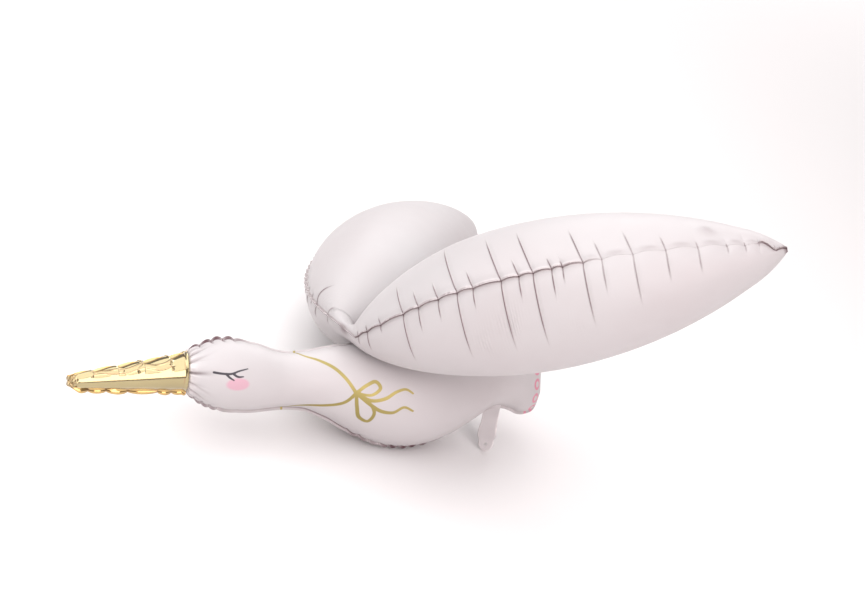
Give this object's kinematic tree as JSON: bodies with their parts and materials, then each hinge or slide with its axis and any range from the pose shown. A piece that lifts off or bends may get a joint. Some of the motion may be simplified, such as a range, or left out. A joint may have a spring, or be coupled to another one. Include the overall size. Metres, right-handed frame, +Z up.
{
  "type": "stork foil balloon",
  "caption": "Inflated foil balloon of a flying stork with swept leaf-shaped wings, a cone beak and a filling tab, lying on its belly and one wing.",
  "frame": {"origin": "on the ground, under the middle of the bird's bounding box as it lies", "axes": "+Z up, the ground at z = 0; the beak points to -X and the raised wing is on the -Y side"},
  "size_m": [1.0356, 0.8984, 0.6232],
  "materials": {
    "pink_foil": "satin metallised film, pale pink",
    "gold_foil": "mirror metallised film, gold"
  },
  "bodies": {
    "root": {"body": "pink_foil", "wings": "pink_foil", "beak": "gold_foil"}
  },
  "joints": []
}
